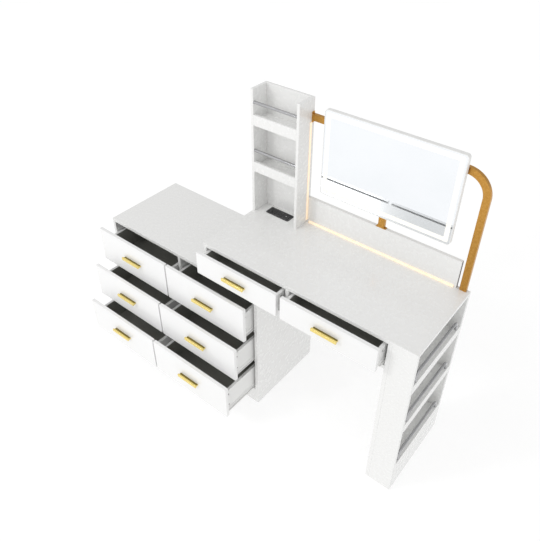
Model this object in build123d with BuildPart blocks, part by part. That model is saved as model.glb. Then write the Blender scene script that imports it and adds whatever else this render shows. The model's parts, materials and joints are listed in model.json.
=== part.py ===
from build123d import *
import os

os.makedirs("parts", exist_ok=True)

# Salon styling station in millimetres. +X runs right, +Y runs to the back, +Z is up.
# The origin is on the floor, under the middle of the whole station's box.

# ---- overall ----
right_x = 750.0
front_y = -84.0            # front edge of every top board
back_y = 303.0
carcass_front_y = front_y         # the drawer fronts close in front of this plane
front_bumper = 1.0
board = 15.0
slim_board = 12.0
glide_height = 2.0
edge_round = 0.8

# ---- chest of six drawers ----
chest_left_x = -750.0
chest_width = 842.0
chest_right_x = chest_left_x + chest_width
chest_top_z = 626.0
chest_base_top_z = 84.0
chest_front_height = 168.0
chest_row_gap = 4.0
chest_front_gap = 7.0              # between the left and right fronts
chest_front_split_x = -333.0       # middle of that gap
chest_front_end = 2.0              # carcass showing past the outer end of a front
chest_lowest_front_z = 101.0
chest_box_height = 110.0
chest_box_depth = 330.0
chest_pull_z_offset = 84.0         # pull centre above the lower edge of its front
chest_row_travel = {"1": 61.0, "2": 119.0, "3": 179.0}
chest_box_lift = 6.0               # box above the lower edge of its front
chest_rail_foot = -14.0            # fixed rail below the lower edge of its front
back_panel = 5.0

# ---- desk ----
desk_left_x = -175.0
desk_top_z = 760.0
desk_floor_top_z = chest_top_z + board
desk_divider_x = 235.0
desk_front_z = 645.0
desk_front_height = 100.0
desk_front_spans = [(-169.0, 222.0), (240.0, 636.0)]
desk_box_height = 79.0
desk_box_depth = 292.0
desk_travel = 32.0
desk_box_lift = 10.0
desk_rail_foot = 1.0
desk_pull_z_offset = 52.0

# ---- open leg with three lipped shelves ----
leg_left_x = right_x - 106.0
leg_shelf_lip_top = [600.0, 391.0, 156.0]
lip_height = 42.0
lip_above_shelf = 20.0
rod_above_lip = 40.0
leg_rod_d = 11.0
leg_rod_bend = 24.0
leg_rod_inset = 24.0

# ---- drawers ----
front_thickness = 15.0
side_thickness = 12.0
joint_gap = 0.1                    # glue line between the boards of a box
runner_gap = 9.0
drawer_bottom = 4.0
bottom_lift = 8.0
pull_length = 104.0
pull_standoff = 18.0
pull_bar_depth = 7.0
pull_bar_height = 12.0
pull_web_height = 8.0              # foot that joins the bar to the front all along
pull_web_drop = 2.0
pull_web_inset = 2.0
cam_d = 10.0
cam_depth = 8.0
cam_from_front = 22.0
steel = 1.2
runner_length = 280.0
runner_web = 22.0
runner_flange = 6.6
roller_r = 5.0
roller_width = 5.0
moving_flange_lift = 12.0          # moving rail's flange above the fixed rail's foot
moving_web = 16.0

# ---- tower ----
tower_left_x = desk_left_x
tower_right_x = 50.0
tower_front_y = back_y - 92.0
tower_top_z = 1290.0
tower_lip_top = [1189.5, 991.5]
tower_lip_height = 43.0
tower_rod_z = [1238.0, 1040.0]
tower_rod_d = 12.0

# ---- back board and light lines ----
riser_top_z = 875.0
riser_right_x = 700.0
led_depth = 5.0
led_height = 8.0

# ---- bent bar ----
bar_width = 25.0
bar_depth = 14.0
bar_wall = 1.5
bar_top_z = 1229.0
bar_leg_outer_x = 737.0
bar_bend_outer = 94.0
bar_back_y = back_y - 2.0
plate = 3.0
post_width = 26.0
post_x = 379.0

# ---- mirror ----
mirror_width = 530.0
mirror_height = 340.0
mirror_x = 386.0
mirror_z = 1108.0
mirror_front_y = 262.0
mirror_depth = 19.0
mirror_corner = 12.0
mirror_rim = 2.5
glass_thickness = 4.0
band_margin = 9.0
band_width = 17.0

# ---- power block in the desk top ----
block_x = -66.0
block_y = 256.0
block_width = 116.0
block_depth = 46.0
block_bezel = 3.0
block_body_width = 106.0
block_body_depth = 37.0
block_body_height = 40.0
block_cut_clearance = 1.0
module_count = 3
module_width = 31.0
module_depth = 31.0
module_pitch = 33.0
module_thickness = 2.0


def board_between(low, high, rounding):
    """A straight board from its low corner to its high corner, with eased edges."""
    size = [high[i] - low[i] for i in range(3)]
    centre = [(high[i] + low[i]) / 2 for i in range(3)]
    with BuildPart() as piece:
        with Locations(tuple(centre)):
            Box(*size)
        if rounding > 0:
            fillet(piece.edges(), radius=rounding)
    return piece.part


def save(shape, node):
    shape.label = node
    export_step(shape, "parts/" + node + ".step")


def save_board(node, low, high, rounding=edge_round):
    save(board_between(low, high, rounding), node)


def save_boards(node, spans, rounding=edge_round):
    with BuildPart() as group:
        for low, high in spans:
            add(board_between(low, high, rounding))
    save(group.part, node)


# ================= chest carcass =================
chest_under_top_z = chest_top_z - board
chest_inner_left = chest_left_x + board
chest_inner_right = chest_right_x - board
chest_divider_x = chest_left_x + chest_width / 2
chest_back_front_y = back_y - back_panel

save_board(
    "chest_top",
    (chest_left_x, front_y, chest_under_top_z),
    (chest_right_x, back_y, chest_top_z),
)
save_boards(
    "chest_uprights",
    [
        (
            (chest_left_x, carcass_front_y, glide_height),
            (chest_inner_left, back_y, chest_under_top_z),
        ),
        (
            (chest_divider_x - board / 2, carcass_front_y, chest_base_top_z),
            (chest_divider_x + board / 2, chest_back_front_y, chest_under_top_z),
        ),
        (
            (chest_inner_right, carcass_front_y, glide_height),
            (chest_right_x, back_y, chest_under_top_z),
        ),
    ],
)
save_board(
    "chest_back",
    (chest_inner_left, chest_back_front_y, glide_height),
    (chest_inner_right, back_y, chest_under_top_z),
    0.4,
)
save_board(
    "chest_base",
    (chest_inner_left, carcass_front_y, chest_base_top_z - board),
    (chest_inner_right, chest_back_front_y, chest_base_top_z),
)

# ================= desk carcass =================
desk_under_top_z = desk_top_z - board
desk_inner_left = desk_left_x + board
desk_inner_right = leg_left_x
desk_rail_front_y = back_y - slim_board

with BuildPart() as desk_top:
    with Locations(((desk_left_x + right_x) / 2, (front_y + back_y) / 2, desk_top_z - board / 2)):
        Box(right_x - desk_left_x, back_y - front_y, board)
    fillet(desk_top.edges(), radius=edge_round)
    with Locations((block_x, block_y, desk_top_z - board / 2)):
        Box(
            block_body_width + 2 * block_cut_clearance,
            block_body_depth + 2 * block_cut_clearance,
            board * 2,
            mode=Mode.SUBTRACT,
        )
save(desk_top.part, "desk_top")

save_boards(
    "desk_uprights",
    [
        (
            (desk_left_x, carcass_front_y, chest_top_z),
            (desk_inner_left, back_y, desk_under_top_z),
        ),
        (
            (desk_divider_x - board / 2, carcass_front_y, desk_floor_top_z),
            (desk_divider_x + board / 2, desk_rail_front_y, desk_under_top_z),
        ),
        (
            (leg_left_x, front_y, glide_height),
            (leg_left_x + board, back_y, desk_under_top_z),
        ),
    ],
)
save_board(
    "desk_drawer_floor",
    (desk_inner_left, carcass_front_y, chest_top_z),
    (desk_inner_right, back_y, desk_floor_top_z),
)
save_board(
    "desk_back_rail",
    (desk_inner_left, desk_rail_front_y, desk_floor_top_z),
    (desk_inner_right, back_y, desk_under_top_z),
)

# ================= open leg =================
leg_inner_left = leg_left_x + board
save_boards(
    "leg_end_boards",
    [
        (
            (leg_inner_left, front_y, glide_height),
            (right_x, front_y + board, desk_under_top_z),
        ),
        (
            (leg_inner_left, back_y - board, glide_height),
            (right_x, back_y, desk_under_top_z),
        ),
    ],
)

# ================= tower =================
tower_inner_left = tower_left_x + slim_board
tower_inner_right = tower_right_x - slim_board
tower_back_front_y = back_y - slim_board
save_boards(
    "tower_sides",
    [
        (
            (tower_left_x, tower_front_y, desk_top_z),
            (tower_inner_left, back_y, tower_top_z),
        ),
        (
            (tower_inner_right, tower_front_y, desk_top_z),
            (tower_right_x, back_y, tower_top_z),
        ),
    ],
)
save_board(
    "tower_back",
    (tower_inner_left, tower_back_front_y, desk_top_z),
    (tower_inner_right, back_y, tower_top_z),
)

# ================= shelves, lips and rods of tower and leg =================
shelf_spans = []
lip_spans = []
for lip_top in tower_lip_top:
    shelf_top = lip_top - lip_above_shelf
    shelf_spans.append(
        (
            (tower_inner_left, tower_front_y + slim_board, shelf_top - slim_board),
            (tower_inner_right, tower_back_front_y, shelf_top),
        )
    )
    lip_spans.append(
        (
            (tower_inner_left, tower_front_y, lip_top - tower_lip_height),
            (tower_inner_right, tower_front_y + slim_board, lip_top),
        )
    )
leg_bay_front_y = front_y + board
leg_bay_back_y = back_y - board
for lip_top in leg_shelf_lip_top:
    shelf_top = lip_top - lip_above_shelf
    shelf_spans.append(
        (
            (leg_inner_left, leg_bay_front_y, shelf_top - board),
            (right_x - board, leg_bay_back_y, shelf_top),
        )
    )
    lip_spans.append(
        (
            (right_x - board, leg_bay_front_y, lip_top - lip_height),
            (right_x, leg_bay_back_y, lip_top),
        )
    )
save_boards("shelf_boards", shelf_spans)
save_boards("shelf_lips", lip_spans)
save_boards(
    "plinths",
    [
        (
            (chest_inner_left, carcass_front_y, glide_height),
            (chest_inner_right, carcass_front_y + board, chest_base_top_z - board),
        ),
        (
            (right_x - board, leg_bay_front_y, glide_height),
            (right_x, leg_bay_back_y, leg_shelf_lip_top[-1] - lip_height),
        ),
    ],
)

rod_x = right_x - board / 2
rod_front_y = leg_bay_front_y + leg_rod_inset
rod_back_y = leg_bay_back_y - leg_rod_inset
tower_rod_y = tower_front_y + slim_board / 2
with BuildPart() as guard_rods:
    for rod_z in tower_rod_z:
        with BuildSketch(Plane.YZ.offset(tower_inner_left)):
            with Locations((tower_rod_y, rod_z)):
                Circle(tower_rod_d / 2)
        extrude(amount=tower_inner_right - tower_inner_left)
    for lip_top in leg_shelf_lip_top:
        with BuildLine() as rod_path:
            FilletPolyline(
                (rod_x, rod_front_y, lip_top),
                (rod_x, rod_front_y, lip_top + rod_above_lip),
                (rod_x, rod_back_y, lip_top + rod_above_lip),
                (rod_x, rod_back_y, lip_top),
                radius=leg_rod_bend,
            )
        with BuildSketch(Plane.XY.offset(lip_top)):
            with Locations((rod_x, rod_front_y)):
                Circle(leg_rod_d / 2)
        sweep(path=rod_path.line)
save(guard_rods.part, "guard_rods")

# ================= back board and light lines =================
save_board(
    "riser_board",
    (tower_right_x, back_y - board, desk_top_z),
    (riser_right_x, back_y, riser_top_z),
)
save_boards(
    "led_lines",
    [
        (
            (tower_right_x + 10, back_y - board - led_depth, desk_top_z),
            (riser_right_x - 10, back_y - board, desk_top_z + led_height),
        ),
        (
            (tower_right_x, back_y - board - 10, desk_top_z + 12),
            (tower_right_x + 3, back_y - board - 2, bar_top_z - bar_width - 6),
        ),
    ],
    0.6,
)

# ================= bent bar, centre post =================
bar_mid_y = bar_back_y - bar_depth / 2
bar_leg_inner_x = bar_leg_outer_x - bar_width
bar_under_z = bar_top_z - bar_width
bend_x = bar_leg_outer_x - bar_bend_outer
bend_z = bar_top_z - bar_bend_outer
bar_end_x = tower_right_x + plate
leg_foot_z = desk_top_z + plate


def bent_profile(inset):
    """The bar's outline in the XZ plane: a leg, a quarter bend and a top run."""
    outer_r = bar_bend_outer - inset
    inner_r = bar_bend_outer - bar_width + inset
    with BuildSketch(Plane.XZ.offset(-bar_mid_y)) as outline:
        with Locations((bend_x, bend_z)):
            Circle(outer_r)
            Circle(inner_r, mode=Mode.SUBTRACT)
        with Locations((bend_x + outer_r, bend_z + outer_r)):
            Rectangle(outer_r * 2, outer_r * 2, mode=Mode.INTERSECT)
        leg_mid_x = (bar_leg_inner_x + bar_leg_outer_x) / 2
        with Locations((leg_mid_x, (leg_foot_z + bend_z) / 2)):
            Rectangle(bar_width - 2 * inset, bend_z - leg_foot_z)
        with Locations(((bar_end_x + bend_x) / 2, (bar_under_z + bar_top_z) / 2)):
            Rectangle(bend_x - bar_end_x, bar_width - 2 * inset)
    return outline.sketch


outer_profile = bent_profile(0.0)
inner_profile = bent_profile(bar_wall)
with BuildPart() as bent_bar:
    extrude(outer_profile, amount=bar_depth / 2, both=True)
    extrude(
        inner_profile,
        amount=bar_depth / 2 - bar_wall,
        both=True,
        mode=Mode.SUBTRACT,
    )
save(bent_bar.part, "bent_bar")

flange_width = bar_width + 16
with BuildPart() as bar_plates:
    with Locations(((bar_leg_inner_x + bar_leg_outer_x) / 2, bar_mid_y, desk_top_z + plate / 2)):
        Box(bar_width, bar_depth, plate)
    with Locations((tower_right_x + plate / 2, bar_mid_y, bar_top_z - bar_width / 2)):
        Box(plate, bar_depth, flange_width)
    with Locations((post_x, bar_mid_y, riser_top_z + plate / 2)):
        Box(post_width + 14, bar_depth, plate)
save(bar_plates.part, "bar_plates")

post_foot_z = riser_top_z + plate
with BuildPart() as centre_post:
    with Locations((post_x, bar_mid_y, (post_foot_z + bar_under_z) / 2)):
        Box(post_width, bar_depth, bar_under_z - post_foot_z)
    vertical = centre_post.edges().filter_by(Axis.Z)
    fillet(vertical, radius=1.5)
    with Locations((post_x, bar_mid_y, (post_foot_z + bar_under_z) / 2)):
        Box(
            post_width - 2 * bar_wall,
            bar_depth - 2 * bar_wall,
            bar_under_z - post_foot_z,
            mode=Mode.SUBTRACT,
        )
save(centre_post.part, "centre_post")

# ================= mirror =================
mirror_back_y = mirror_front_y + mirror_depth


def mirror_slab(width, height, corner, y_front, thickness, hole_w=0.0, hole_h=0.0, hole_r=0.0):
    """A rounded rectangular slab or ring, from y_front towards the back."""
    with BuildPart() as slab:
        with BuildSketch(Plane.XZ.offset(-y_front)):
            with Locations((mirror_x, mirror_z)):
                RectangleRounded(width, height, corner)
                if hole_w > 0:
                    RectangleRounded(hole_w, hole_h, hole_r, mode=Mode.SUBTRACT)
        extrude(amount=-thickness)
    return slab.part


with BuildPart() as mirror_tray:
    add(
        mirror_slab(
            mirror_width, mirror_height, mirror_corner, mirror_front_y, mirror_depth
        )
    )
    fillet(mirror_tray.edges().group_by(Axis.Y)[-1], radius=3)
    add(
        mirror_slab(
            mirror_width - 2 * mirror_rim,
            mirror_height - 2 * mirror_rim,
            mirror_corner - mirror_rim,
            mirror_front_y,
            glass_thickness,
        ),
        mode=Mode.SUBTRACT,
    )
    add(
        mirror_slab(
            mirror_width - 24,
            mirror_height - 24,
            6,
            mirror_front_y,
            mirror_depth - 2,
        ),
        mode=Mode.SUBTRACT,
    )
save(mirror_tray.part, "mirror_tray")

band_outer_w = mirror_width - 2 * band_margin
band_outer_h = mirror_height - 2 * band_margin
band_inner_w = band_outer_w - 2 * band_width
band_inner_h = band_outer_h - 2 * band_width
glass_gap = 0.2
glass_outer = mirror_width - 2 * mirror_rim - 2 * glass_gap
glass_outer_h = mirror_height - 2 * mirror_rim - 2 * glass_gap
with BuildPart() as mirror_glass:
    add(
        mirror_slab(
            band_inner_w,
            band_inner_h,
            3,
            mirror_front_y + 0.5,
            glass_thickness - 0.5,
        )
    )
    add(
        mirror_slab(
            glass_outer,
            glass_outer_h,
            mirror_corner - mirror_rim - glass_gap,
            mirror_front_y + 0.5,
            glass_thickness - 0.5,
            band_outer_w,
            band_outer_h,
            6,
        )
    )
save(mirror_glass.part, "mirror_glass")
save(
    mirror_slab(
        band_outer_w,
        band_outer_h,
        6,
        mirror_front_y + 0.5,
        glass_thickness - 0.5,
        band_inner_w,
        band_inner_h,
        3,
    ),
    "mirror_light_band",
)

hanger_gap = bar_back_y - bar_depth - mirror_back_y
with BuildPart() as mirror_hangers:
    for offset in (-170.0, 170.0):
        with Locations(
            (mirror_x + offset, mirror_back_y + hanger_gap / 2, bar_top_z - bar_width / 2)
        ):
            Box(60, hanger_gap, 46)
    with Locations((post_x, mirror_back_y + hanger_gap / 2, mirror_z - 120)):
        Box(40, hanger_gap, 50)
save(mirror_hangers.part, "mirror_hangers")

# ================= power block =================
with BuildPart() as block_body:
    with BuildSketch(Plane.XY.offset(desk_top_z)):
        with Locations((block_x, block_y)):
            RectangleRounded(block_width, block_depth, 7)
    extrude(amount=block_bezel)
    chamfer(block_body.faces().sort_by(Axis.Z)[-1].edges(), length=1.5)
    with Locations((block_x, block_y, desk_top_z - block_body_height / 2)):
        Box(block_body_width, block_body_depth, block_body_height)
    with Locations((block_x, block_y, desk_top_z + block_bezel - module_thickness / 2)):
        Box(
            module_count * module_pitch + 1,
            module_depth + 1,
            module_thickness,
            mode=Mode.SUBTRACT,
        )
    with Locations((block_x, block_y + block_body_depth / 2 + 2, desk_top_z - 30)):
        Cylinder(4.5, 4, rotation=(90, 0, 0))
save(block_body.part, "power_block")

with BuildPart() as block_modules:
    for index in range(module_count):
        module_x = block_x + (index - (module_count - 1) / 2) * module_pitch
        with Locations((module_x, block_y, desk_top_z + block_bezel - module_thickness / 2)):
            Box(module_width, module_depth, module_thickness)
        if index < 2:
            with Locations(
                (module_x - 6.5, block_y + 3, desk_top_z + block_bezel),
                (module_x + 6.5, block_y + 3, desk_top_z + block_bezel),
            ):
                Box(2.2, 8.5, 2.4, mode=Mode.SUBTRACT)
            with Locations((module_x, block_y - 7, desk_top_z + block_bezel)):
                Cylinder(2.6, 2.4, mode=Mode.SUBTRACT)
        else:
            with Locations(
                (module_x, block_y + 7, desk_top_z + block_bezel),
                (module_x, block_y - 7, desk_top_z + block_bezel),
            ):
                Box(13.0, 5.6, 2.4, mode=Mode.SUBTRACT)
save(block_modules.part, "power_modules")

# ================= drawers =================
chest_pitch = chest_front_height + chest_row_gap
drawer_list = []
for column, centre_sign in (("a", -1), ("b", 1)):
    column_left = chest_left_x + chest_front_end
    column_right = chest_front_split_x - chest_front_gap / 2
    opening_left = chest_inner_left
    opening_right = chest_divider_x - board / 2
    if centre_sign > 0:
        column_left = chest_front_split_x + chest_front_gap / 2
        column_right = chest_right_x - chest_front_end
        opening_left = chest_divider_x + board / 2
        opening_right = chest_inner_right
    for row, travel in chest_row_travel.items():
        drawer_list.append(
            {
                "name": "drawer_" + column + row,
                "front_left": column_left,
                "front_width": column_right - column_left,
                "front_z": chest_lowest_front_z + (3 - int(row)) * chest_pitch,
                "front_height": chest_front_height,
                "opening": (opening_left, opening_right),
                "box_height": chest_box_height,
                "box_depth": chest_box_depth,
                "travel": travel,
                "box_lift": chest_box_lift,
                "rail_foot": chest_rail_foot,
                "pull_z": chest_pull_z_offset,
            }
        )
desk_openings = [
    (desk_inner_left, desk_divider_x - board / 2),
    (desk_divider_x + board / 2, desk_inner_right),
]
for index, (span_left, span_right) in enumerate(desk_front_spans):
    drawer_list.append(
        {
            "name": "drawer_d" + str(index + 1),
            "front_left": span_left,
            "front_width": span_right - span_left,
            "front_z": desk_front_z,
            "front_height": desk_front_height,
            "opening": desk_openings[index],
            "box_height": desk_box_height,
            "box_depth": desk_box_depth,
            "travel": desk_travel,
            "box_lift": desk_box_lift,
            "rail_foot": desk_rail_foot,
            "pull_z": desk_pull_z_offset,
        }
    )


closed_face_y = carcass_front_y - front_bumper - front_thickness


def build_drawer(d):
    name = d["name"]
    face_y = closed_face_y - d["travel"]
    inner_y = face_y + front_thickness
    left = d["front_left"]
    right = left + d["front_width"]
    foot = d["front_z"]
    save_board(
        name + "_front",
        (left, face_y, foot),
        (right, inner_y, foot + d["front_height"]),
        1.0,
    )

    box_left = d["opening"][0] + runner_gap
    box_right = d["opening"][1] - runner_gap
    box_foot = foot + d["box_lift"]
    box_top = box_foot + d["box_height"]
    box_back = inner_y + d["box_depth"]
    bottom_z = box_foot + bottom_lift
    cam_low = 0.2 * d["box_height"]
    cam_high = 0.78 * d["box_height"]
    inner_left = box_left + side_thickness + joint_gap
    inner_right = box_right - side_thickness - joint_gap
    panel_front = inner_y + joint_gap
    with BuildPart() as box:
        for side, x0 in ((-1, box_left), (1, box_right - side_thickness)):
            add(
                board_between(
                    (x0, inner_y, box_foot),
                    (x0 + side_thickness, box_back, box_top),
                    0.6,
                )
            )
            outer_x = box_left if side < 0 else box_right
            for cam_z in (cam_low, cam_high):
                with Locations((outer_x, inner_y + cam_from_front, box_foot + cam_z)):
                    Cylinder(
                        cam_d / 2, cam_depth * 2, rotation=(0, 90, 0), mode=Mode.SUBTRACT
                    )
        add(
            board_between(
                (inner_left, box_back - side_thickness, box_foot),
                (inner_right, box_back, box_top),
                0.6,
            )
        )
        add(
            board_between(
                (inner_left, panel_front, bottom_z),
                (
                    inner_right,
                    box_back - side_thickness - joint_gap,
                    bottom_z + drawer_bottom,
                ),
                0.0,
            )
        )
    save(box.part, name + "_box")

    pull_x = (left + right) / 2
    pull_z = foot + d["pull_z"]
    bar_y = face_y - pull_standoff + pull_bar_depth / 2
    with BuildPart() as pull:
        with Locations((pull_x, bar_y, pull_z)):
            Box(pull_length, pull_bar_depth, pull_bar_height)
        web_depth = pull_standoff - pull_bar_depth
        with Locations((pull_x, face_y - web_depth / 2, pull_z - pull_web_drop)):
            Box(pull_length - 2 * pull_web_inset, web_depth, pull_web_height)
        fillet(pull.edges().group_by(Axis.Y)[0], radius=1.0)
    save(pull.part, name + "_pull")

    rail_foot = foot + d["rail_foot"]
    flange_z = rail_foot + moving_flange_lift
    rail_start = inner_y + 6
    rail_end = inner_y + runner_length
    with BuildPart() as runners:
        for side, x_side in ((-1, box_left), (1, box_right)):
            web_mid = x_side + side * steel / 2
            with Locations(
                (web_mid, (rail_start + rail_end) / 2, flange_z + moving_web / 2)
            ):
                Box(steel, rail_end - rail_start, moving_web)
            flange_mid = x_side + side * (steel + (runner_flange - steel) / 2)
            with Locations(
                (flange_mid, (rail_start + rail_end) / 2, flange_z + steel / 2)
            ):
                Box(runner_flange - steel, rail_end - rail_start, steel)
            tab_mid = x_side + side * steel / 2
            tab_top = flange_z
            tab_foot = rail_foot + steel + 0.6 + roller_r
            with Locations(
                (tab_mid, rail_end - roller_r, (tab_top + tab_foot) / 2)
            ):
                Box(steel, 2 * roller_r, tab_top - tab_foot)
            roller_mid = x_side + side * (steel + roller_width / 2 + 0.1)
            with Locations(
                (roller_mid, rail_end - roller_r, rail_foot + steel + 0.3 + roller_r)
            ):
                Cylinder(roller_r - 0.2, roller_width, rotation=(0, 90, 0))
    save(runners.part, name + "_runners")


for drawer in drawer_list:
    build_drawer(drawer)

# ================= fixed rails in the carcass =================
with BuildPart() as fixed_runners:
    for d in drawer_list:
        rail_foot = d["front_z"] + d["rail_foot"]
        rail_front = carcass_front_y + 1
        rail_back = rail_front + runner_length
        for side, wall in ((1, d["opening"][0]), (-1, d["opening"][1])):
            with Locations(
                (
                    wall + side * steel / 2,
                    (rail_front + rail_back) / 2,
                    rail_foot + runner_web / 2,
                )
            ):
                Box(steel, rail_back - rail_front, runner_web)
            with Locations(
                (
                    wall + side * (steel + (runner_flange - steel) / 2),
                    (rail_front + rail_back) / 2,
                    rail_foot + steel / 2,
                )
            ):
                Box(runner_flange - steel, rail_back - rail_front, steel)
            with Locations(
                (
                    wall + side * (steel + roller_width / 2),
                    rail_front + roller_r + 1,
                    rail_foot + steel + 0.4 + roller_r,
                )
            ):
                Cylinder(roller_r, roller_width, rotation=(0, 90, 0))
save(fixed_runners.part, "fixed_runners")

# ================= floor glides =================
glide_r = 7.0
glide_front_y = carcass_front_y + 20
glide_back_y = back_y - 20
glide_spots = []
for glide_x in (chest_left_x + board / 2, chest_right_x - board / 2, leg_left_x + board / 2):
    glide_spots.append((glide_x, glide_front_y))
    glide_spots.append((glide_x, glide_back_y))
glide_spots.append((right_x - board / 2, leg_bay_front_y + 20))
glide_spots.append((right_x - board / 2, leg_bay_back_y - 20))
with BuildPart() as glides:
    for glide_x, glide_y in glide_spots:
        with Locations((glide_x, glide_y, glide_height / 2)):
            Cylinder(glide_r, glide_height)
save(glides.part, "glides")
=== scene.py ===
import json
import math

import bmesh
import bpy
from mathutils import Matrix, Vector


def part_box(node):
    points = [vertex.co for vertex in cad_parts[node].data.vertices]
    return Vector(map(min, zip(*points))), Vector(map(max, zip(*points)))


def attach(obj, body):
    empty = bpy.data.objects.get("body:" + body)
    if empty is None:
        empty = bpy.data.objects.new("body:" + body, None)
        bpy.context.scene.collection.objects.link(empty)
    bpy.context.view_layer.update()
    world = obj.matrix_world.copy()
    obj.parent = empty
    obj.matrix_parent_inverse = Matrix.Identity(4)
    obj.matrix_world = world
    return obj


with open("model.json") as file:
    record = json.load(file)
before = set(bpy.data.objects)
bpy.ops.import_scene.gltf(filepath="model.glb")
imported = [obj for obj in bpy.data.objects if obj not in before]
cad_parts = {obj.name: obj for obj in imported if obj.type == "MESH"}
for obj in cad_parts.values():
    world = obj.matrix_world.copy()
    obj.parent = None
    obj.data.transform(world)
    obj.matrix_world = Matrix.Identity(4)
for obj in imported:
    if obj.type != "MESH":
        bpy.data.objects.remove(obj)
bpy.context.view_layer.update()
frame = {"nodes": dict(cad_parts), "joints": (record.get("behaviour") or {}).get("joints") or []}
nodes = frame["nodes"]
joints = frame["joints"]
DRAWERS = sorted(j["child"] for j in joints)

MM = 0.001


# ---------------------------------------------------------------- materials
def new_material(name):
    """A material with one principled shader, and its node tree to add to."""
    material = bpy.data.materials.new(name)
    material.use_nodes = True
    tree = material.node_tree
    return material, tree, tree.nodes["Principled BSDF"]


def object_noise(tree, scale, detail=3.0, stretch=(1.0, 1.0, 1.0)):
    """Noise that stays fixed to the piece, stretched along its axes."""
    place = tree.nodes.new("ShaderNodeTexCoord")
    mapping = tree.nodes.new("ShaderNodeMapping")
    mapping.inputs["Scale"].default_value = stretch
    noise = tree.nodes.new("ShaderNodeTexNoise")
    noise.inputs["Scale"].default_value = scale
    noise.inputs["Detail"].default_value = detail
    tree.links.new(place.outputs["Object"], mapping.inputs["Vector"])
    tree.links.new(mapping.outputs["Vector"], noise.inputs["Vector"])
    return noise


def colour_from(tree, shader, noise, low, high, low_at=0.35, high_at=0.65):
    ramp = tree.nodes.new("ShaderNodeValToRGB")
    ramp.color_ramp.elements[0].position = low_at
    ramp.color_ramp.elements[0].color = (*low, 1.0)
    ramp.color_ramp.elements[1].position = high_at
    ramp.color_ramp.elements[1].color = (*high, 1.0)
    tree.links.new(noise.outputs["Fac"], ramp.inputs["Fac"])
    tree.links.new(ramp.outputs["Color"], shader.inputs["Base Color"])


def roughness_from(tree, shader, noise, low, high):
    spread = tree.nodes.new("ShaderNodeMapRange")
    spread.inputs["To Min"].default_value = low
    spread.inputs["To Max"].default_value = high
    tree.links.new(noise.outputs["Fac"], spread.inputs["Value"])
    tree.links.new(spread.outputs["Result"], shader.inputs["Roughness"])


def bump_from(tree, shader, noise, strength, distance):
    bump = tree.nodes.new("ShaderNodeBump")
    bump.inputs["Strength"].default_value = strength
    bump.inputs["Distance"].default_value = distance
    tree.links.new(noise.outputs["Fac"], bump.inputs["Height"])
    tree.links.new(bump.outputs["Normal"], shader.inputs["Normal"])


def laminate(name, low, high, rough_low, rough_high):
    """Melamine board: faint cloudiness, a fine orange peel and a thin clear sheen."""
    material, tree, shader = new_material(name)
    cloud = object_noise(tree, 3.0, 1.0)
    colour_from(tree, shader, cloud, low, high, 0.2, 0.8)
    fine = object_noise(tree, 60.0, 2.0)
    roughness_from(tree, shader, fine, rough_low, rough_high)
    peel = object_noise(tree, 420.0, 2.0)
    bump_from(tree, shader, peel, 0.05, 0.0004)
    shader.inputs["Coat Weight"].default_value = 0.25
    shader.inputs["Coat Roughness"].default_value = 0.08
    return material


def brushed_metal(name, low, high, rough_low, rough_high, stretch, scale=60.0, metallic=1.0):
    """Metal with fine lines along one axis."""
    material, tree, shader = new_material(name)
    shader.inputs["Metallic"].default_value = metallic
    grain = object_noise(tree, scale, 4.0, stretch)
    colour_from(tree, shader, grain, low, high)
    roughness_from(tree, shader, grain, rough_low, rough_high)
    bump_from(tree, shader, grain, 0.08, 0.0002)
    return material


def glowing(name, colour, strength, low, high):
    """A lit diffuser, a little uneven along its length."""
    material, tree, shader = new_material(name)
    spots = object_noise(tree, 90.0, 1.0)
    colour_from(tree, shader, spots, low, high)
    shader.inputs["Roughness"].default_value = 0.5
    shader.inputs["Emission Color"].default_value = (*colour, 1.0)
    shader.inputs["Emission Strength"].default_value = strength
    return material


def moulded_plastic(name, low, high, rough_low, rough_high, grain_scale=900.0):
    material, tree, shader = new_material(name)
    cloud = object_noise(tree, 40.0)
    colour_from(tree, shader, cloud, low, high)
    roughness_from(tree, shader, cloud, rough_low, rough_high)
    grain = object_noise(tree, grain_scale, 2.0)
    bump_from(tree, shader, grain, 0.15, 0.0002)
    return material


white_board = laminate("white_board", (0.815, 0.815, 0.805), (0.825, 0.825, 0.815), 0.24, 0.30)
white_front = laminate("white_front", (0.83, 0.83, 0.828), (0.85, 0.85, 0.848), 0.18, 0.26)
box_board = laminate("box_board", (0.76, 0.76, 0.75), (0.79, 0.79, 0.78), 0.38, 0.5)
# A darker board tone for the faces of the drawer boxes that look inwards, their floors among them.
dark_box_inside = laminate("dark_box_inside", (0.26, 0.26, 0.235), (0.31, 0.31, 0.285), 0.5, 0.65)
# Painted shade and painted reflection: a dark brown for the riser board's end face beside the gold
# leg.
painted_end_shade = laminate("painted_end_shade", (0.07, 0.055, 0.045), (0.11, 0.085, 0.07), 0.5, 0.65)
bright_gold = brushed_metal(
    "bright_gold", (0.80, 0.63, 0.20), (0.92, 0.76, 0.30), 0.20, 0.32, (2.0, 40.0, 40.0)
)
frame_gold = brushed_metal(
    "frame_gold", (0.50, 0.25, 0.05), (0.60, 0.32, 0.075), 0.28, 0.40, (6.0, 6.0, 6.0),
    scale=30.0, metallic=0.9,
)
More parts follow.
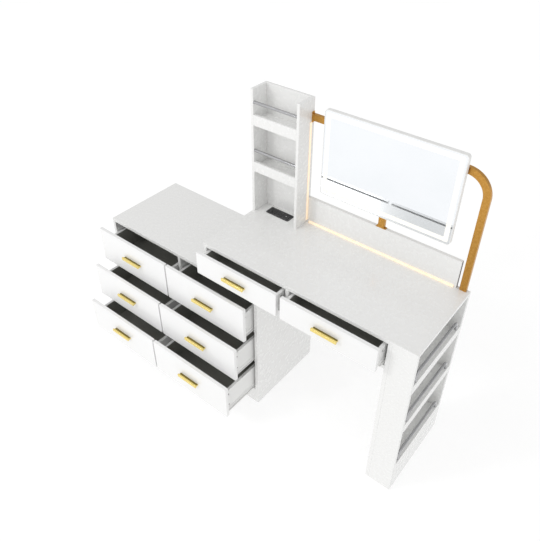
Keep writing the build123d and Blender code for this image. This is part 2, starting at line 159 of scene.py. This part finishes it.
# Painted shade: a darker copy of the pull gold, laid on the tops of the pull webs behind the bars.
painted_shade_gold = brushed_metal(
    "painted_shade_gold", (0.20, 0.155, 0.03), (0.27, 0.21, 0.045), 0.35, 0.5, (2.0, 40.0, 40.0),
    metallic=0.6,
)
rod_chrome = brushed_metal(
    "rod_chrome", (0.40, 0.40, 0.41), (0.48, 0.48, 0.49), 0.10, 0.18, (1.0, 1.0, 20.0)
)
rail_white = moulded_plastic("rail_white", (0.74, 0.74, 0.73), (0.80, 0.80, 0.79), 0.32, 0.42)
tray_white = moulded_plastic("tray_white", (0.78, 0.78, 0.77), (0.83, 0.83, 0.82), 0.3, 0.4)
roller_dark = moulded_plastic("roller_dark", (0.035, 0.035, 0.035), (0.06, 0.06, 0.06), 0.4, 0.55)
block_black = moulded_plastic("block_black", (0.022, 0.022, 0.024), (0.035, 0.035, 0.037), 0.38, 0.5)
module_black = moulded_plastic("module_black", (0.012, 0.012, 0.013), (0.02, 0.02, 0.021), 0.2, 0.3)
glide_nylon = moulded_plastic("glide_nylon", (0.5, 0.5, 0.49), (0.58, 0.58, 0.57), 0.5, 0.6)
cam_zinc = brushed_metal(
    "cam_zinc", (0.09, 0.09, 0.09), (0.15, 0.15, 0.15), 0.5, 0.65, (1.0, 1.0, 1.0), metallic=0.3
)
warm_line = glowing("warm_line", (1.0, 0.70, 0.40), 0.45, (0.86, 0.74, 0.60), (0.90, 0.80, 0.68))
band_light = glowing("band_light", (1.0, 0.95, 0.86), 0.22, (0.80, 0.79, 0.74), (0.85, 0.84, 0.80))
indicator_white = glowing("indicator_white", (0.95, 0.97, 1.0), 0.1, (0.4, 0.4, 0.4), (0.5, 0.5, 0.5))


def silvered_glass():
    material, tree, shader = new_material("silvered_glass")
    haze = object_noise(tree, 5.0)
    colour_from(tree, shader, haze, (0.86, 0.885, 0.91), (0.88, 0.90, 0.925))
    roughness_from(tree, shader, haze, 0.012, 0.03)
    shader.inputs["Metallic"].default_value = 1.0
    return material


mirror_silver = silvered_glass()


def dress(node, *materials):
    """Gives a CAD node its materials, the first of them all over."""
    mesh = nodes[node].data
    mesh.materials.clear()
    for material in materials:
        mesh.materials.append(material)
    for face in mesh.polygons:
        face.material_index = 0


WHITE_BOARDS = (
    "chest_top",
    "chest_uprights",
    "chest_back",
    "chest_base",
    "plinths",
    "desk_top",
    "desk_uprights",
    "desk_drawer_floor",
    "desk_back_rail",
    "leg_end_boards",
    "tower_sides",
    "tower_back",
    "shelf_boards",
    "shelf_lips",
)
for node in WHITE_BOARDS:
    dress(node, white_board)
dress("guard_rods", rod_chrome)
dress("led_lines", warm_line)
dress("bent_bar", frame_gold)
dress("bar_plates", frame_gold)
dress("centre_post", frame_gold)
dress("mirror_tray", tray_white)
dress("mirror_glass", mirror_silver)
dress("mirror_light_band", band_light)
dress("mirror_hangers", tray_white)
dress("power_block", block_black)
dress("power_modules", module_black)
dress("glides", glide_nylon)
dress("riser_board", white_board, painted_end_shade)
dress("fixed_runners", rail_white, roller_dark)
for drawer in DRAWERS:
    dress(drawer + "_front", white_front)
    dress(drawer + "_box", box_board, dark_box_inside)
    dress(drawer + "_pull", bright_gold, painted_shade_gold)
    dress(drawer + "_runners", rail_white, roller_dark)

# The riser board's right end face gets painted shade, tinted brown as a painted reflection of the
# gold leg beside it.
for face in nodes["riser_board"].data.polygons:
    if face.normal.x > 0.9:
        face.material_index = 1

# A runner's sheet is square to the axes, so only its rollers have faces that lean.
SQUARE_FACE = 0.998


def paint_rollers(node):
    for face in nodes[node].data.polygons:
        square = max(abs(c) for c in face.normal) > SQUARE_FACE
        if not square:
            face.material_index = 1


paint_rollers("fixed_runners")
for drawer in DRAWERS:
    paint_rollers(drawer + "_runners")


BOX_WALL = 13 * MM
BOX_WALL_SLACK = 2 * MM


def darken_box_inside(drawer):
    """Darkens the faces of a drawer box that look inwards, its floor among them."""
    low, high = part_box(drawer + "_box")
    middle = (low + high) / 2
    reach = BOX_WALL - BOX_WALL_SLACK
    for face in nodes[drawer + "_box"].data.polygons:
        spot = face.center
        inside_x = low.x + reach < spot.x < high.x - reach
        inside_y = spot.y < high.y - reach
        facing_x = face.normal.x * (middle.x - spot.x) > 0.5 * abs(middle.x - spot.x)
        facing_back = face.normal.y < -0.5 and spot.y > middle.y
        facing_up = face.normal.z > 0.5 and spot.z < middle.z
        if inside_x and inside_y and (facing_x or facing_back or facing_up):
            face.material_index = 1


PULL_BAR_DEPTH = 7 * MM


def shade_pull_web(drawer):
    """Paints shade on the top of the web behind the bar of a pull, in a deeper gold than the bar."""
    low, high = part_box(drawer + "_pull")
    for face in nodes[drawer + "_pull"].data.polygons:
        if face.normal.z > 0.7 and face.center.y > low.y + PULL_BAR_DEPTH:
            face.material_index = 1


for drawer in DRAWERS:
    darken_box_inside(drawer)
    shade_pull_web(drawer)


# ---------------------------------------------------------------- small pieces
def finish_piece(name, mesh_builder, material, body):
    """Makes an object of the builder's bmesh, and lets it ride on a body."""
    shape = bmesh.new()
    mesh_builder(shape)
    bmesh.ops.recalc_face_normals(shape, faces=shape.faces)
    mesh = bpy.data.meshes.new(name)
    shape.to_mesh(mesh)
    shape.free()
    piece = bpy.data.objects.new(name, mesh)
    bpy.context.scene.collection.objects.link(piece)
    mesh.materials.append(material)
    for face in mesh.polygons:
        face.use_smooth = False
    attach(piece, body)
    return piece


def add_disc(shape, centre, axis, radius, thickness, segments=24):
    """A short closed cylinder with its middle at centre."""
    turn = Vector((0, 0, 1)).rotation_difference(Vector(axis)).to_matrix().to_4x4()
    bmesh.ops.create_cone(
        shape,
        cap_ends=True,
        cap_tris=False,
        segments=segments,
        radius1=radius,
        radius2=radius,
        depth=thickness,
        matrix=Matrix.Translation(Vector(centre)) @ turn,
    )


CAM_RADIUS = 4.7 * MM
CAM_THICKNESS = 3 * MM
CAM_FROM_FRONT = 22 * MM
CAM_RECESS = 2.0 * MM
CAM_HEIGHT_SHARES = (0.2, 0.78)


def cam_maker(drawer):
    """Round cam fittings, sunk in the holes of a drawer box's outer sides."""
    low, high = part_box(drawer + "_box")
    height = high.z - low.z

    def build(shape):
        for side in (-1, 1):
            wall_x = low.x if side < 0 else high.x
            for share in CAM_HEIGHT_SHARES:
                spot = (
                    wall_x - side * (CAM_RECESS + CAM_THICKNESS / 2),
                    low.y + CAM_FROM_FRONT,
                    low.z + share * height,
                )
                add_disc(shape, spot, (1, 0, 0), CAM_RADIUS, CAM_THICKNESS)

    return build


for drawer in DRAWERS:
    finish_piece(drawer + "_cams", cam_maker(drawer), cam_zinc, drawer)


INDICATOR_FROM_END = 15.5 * MM
INDICATOR_RAISED = 0.1 * MM
INDICATOR_RADIUS = 2.0 * MM
INDICATOR_THICKNESS = 0.6 * MM


def indicator(shape):
    low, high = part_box("power_modules")
    spot = (high.x - INDICATOR_FROM_END, (low.y + high.y) / 2, high.z + INDICATOR_RAISED)
    add_disc(shape, spot, (0, 0, 1), INDICATOR_RADIUS, INDICATOR_THICKNESS)


finish_piece("power_indicator", indicator, indicator_white, "carcass")


# ---------------------------------------------------------------- camera, light, floor
def make_camera():
    """Stands where the station is seen from its right front, from above."""
    eye = Vector((1.1768, -1.3417, 2.1399))
    looking = Vector((-0.49171, 0.62277, -0.60859)).normalized()
    level_right = looking.cross(Vector((0, 0, 1))).normalized()
    level_up = level_right.cross(looking)
    roll = math.radians(0.524)
    right = level_right * math.cos(roll) + level_up * math.sin(roll)
    up = right.cross(looking)
    data = bpy.data.cameras.new("studio_camera")
    data.sensor_fit = "HORIZONTAL"
    data.sensor_width = 36.0
    data.lens = 39.5
    data.shift_x = -0.0111
    data.shift_y = -0.04265
    data.clip_end = 50.0
    camera = bpy.data.objects.new("studio_camera", data)
    bpy.context.scene.collection.objects.link(camera)
    facing = Matrix((right, up, -looking)).transposed().to_4x4()
    camera.matrix_world = Matrix.Translation(eye) @ facing
    bpy.context.scene.camera = camera


make_camera()


FLOOR_REACH = 12.0
FLOOR_GLOW = 0.62


def make_floor():
    shape = bmesh.new()
    bmesh.ops.create_grid(shape, x_segments=1, y_segments=1, size=FLOOR_REACH)
    mesh = bpy.data.meshes.new("studio_floor")
    shape.to_mesh(mesh)
    shape.free()
    floor = bpy.data.objects.new("studio_floor", mesh)
    bpy.context.scene.collection.objects.link(floor)
    material, tree, shader = new_material("floor_paper")
    cloud = object_noise(tree, 1.5)
    colour_from(tree, shader, cloud, (0.44, 0.44, 0.44), (0.46, 0.46, 0.46))
    shader.inputs["Roughness"].default_value = 0.9
    shader.inputs["Specular IOR Level"].default_value = 0.1
    shader.inputs["Emission Color"].default_value = (1.0, 1.0, 1.0, 1.0)
    shader.inputs["Emission Strength"].default_value = FLOOR_GLOW
    mesh.materials.append(material)


make_floor()


def area_light(name, place, target, size, power, colour=(1.0, 1.0, 1.0)):
    data = bpy.data.lights.new(name, "AREA")
    data.shape = "SQUARE"
    data.size = size
    data.energy = power
    data.color = colour
    light = bpy.data.objects.new(name, data)
    bpy.context.scene.collection.objects.link(light)
    direction = Vector(target) - Vector(place)
    turn = direction.to_track_quat("-Z", "Y").to_matrix().to_4x4()
    light.matrix_world = Matrix.Translation(Vector(place)) @ turn


KEY_AZIMUTH = math.radians(-28.0)
KEY_ELEVATION = math.radians(32.0)
KEY_DISTANCE = 4.2
KEY_AIM = Vector((0.0, 0.1, 0.7))
key_place = KEY_AIM + KEY_DISTANCE * Vector(
    (
        math.sin(KEY_AZIMUTH) * math.cos(KEY_ELEVATION),
        -math.cos(KEY_AZIMUTH) * math.cos(KEY_ELEVATION),
        math.sin(KEY_ELEVATION),
    )
)
KEY_SIZE = 0.7
KEY_POWER = 26.0
area_light("key_softbox", key_place, KEY_AIM, KEY_SIZE, KEY_POWER)


FRONT_WALL = 1.02
BACK_WALL = 0.66
FADE_FROM = -0.35
FADE_TO = 0.45


def make_world():
    """A plain surround, brighter towards the front of the station than behind it."""
    world = bpy.data.worlds.new("studio_surround")
    bpy.context.scene.world = world
    world.use_nodes = True
    tree = world.node_tree
    background = tree.nodes["Background"]
    background.inputs["Color"].default_value = (1.0, 1.0, 1.0, 1.0)
    place = tree.nodes.new("ShaderNodeTexCoord")
    split = tree.nodes.new("ShaderNodeSeparateXYZ")
    fade = tree.nodes.new("ShaderNodeMapRange")
    fade.interpolation_type = "SMOOTHSTEP"
    fade.inputs["From Min"].default_value = FADE_FROM
    fade.inputs["From Max"].default_value = FADE_TO
    fade.inputs["To Min"].default_value = FRONT_WALL
    fade.inputs["To Max"].default_value = BACK_WALL
    tree.links.new(place.outputs["Generated"], split.inputs["Vector"])
    tree.links.new(split.outputs["Y"], fade.inputs["Value"])
    tree.links.new(fade.outputs["Result"], background.inputs["Strength"])


make_world()
bpy.context.scene.view_settings.view_transform = "Standard"
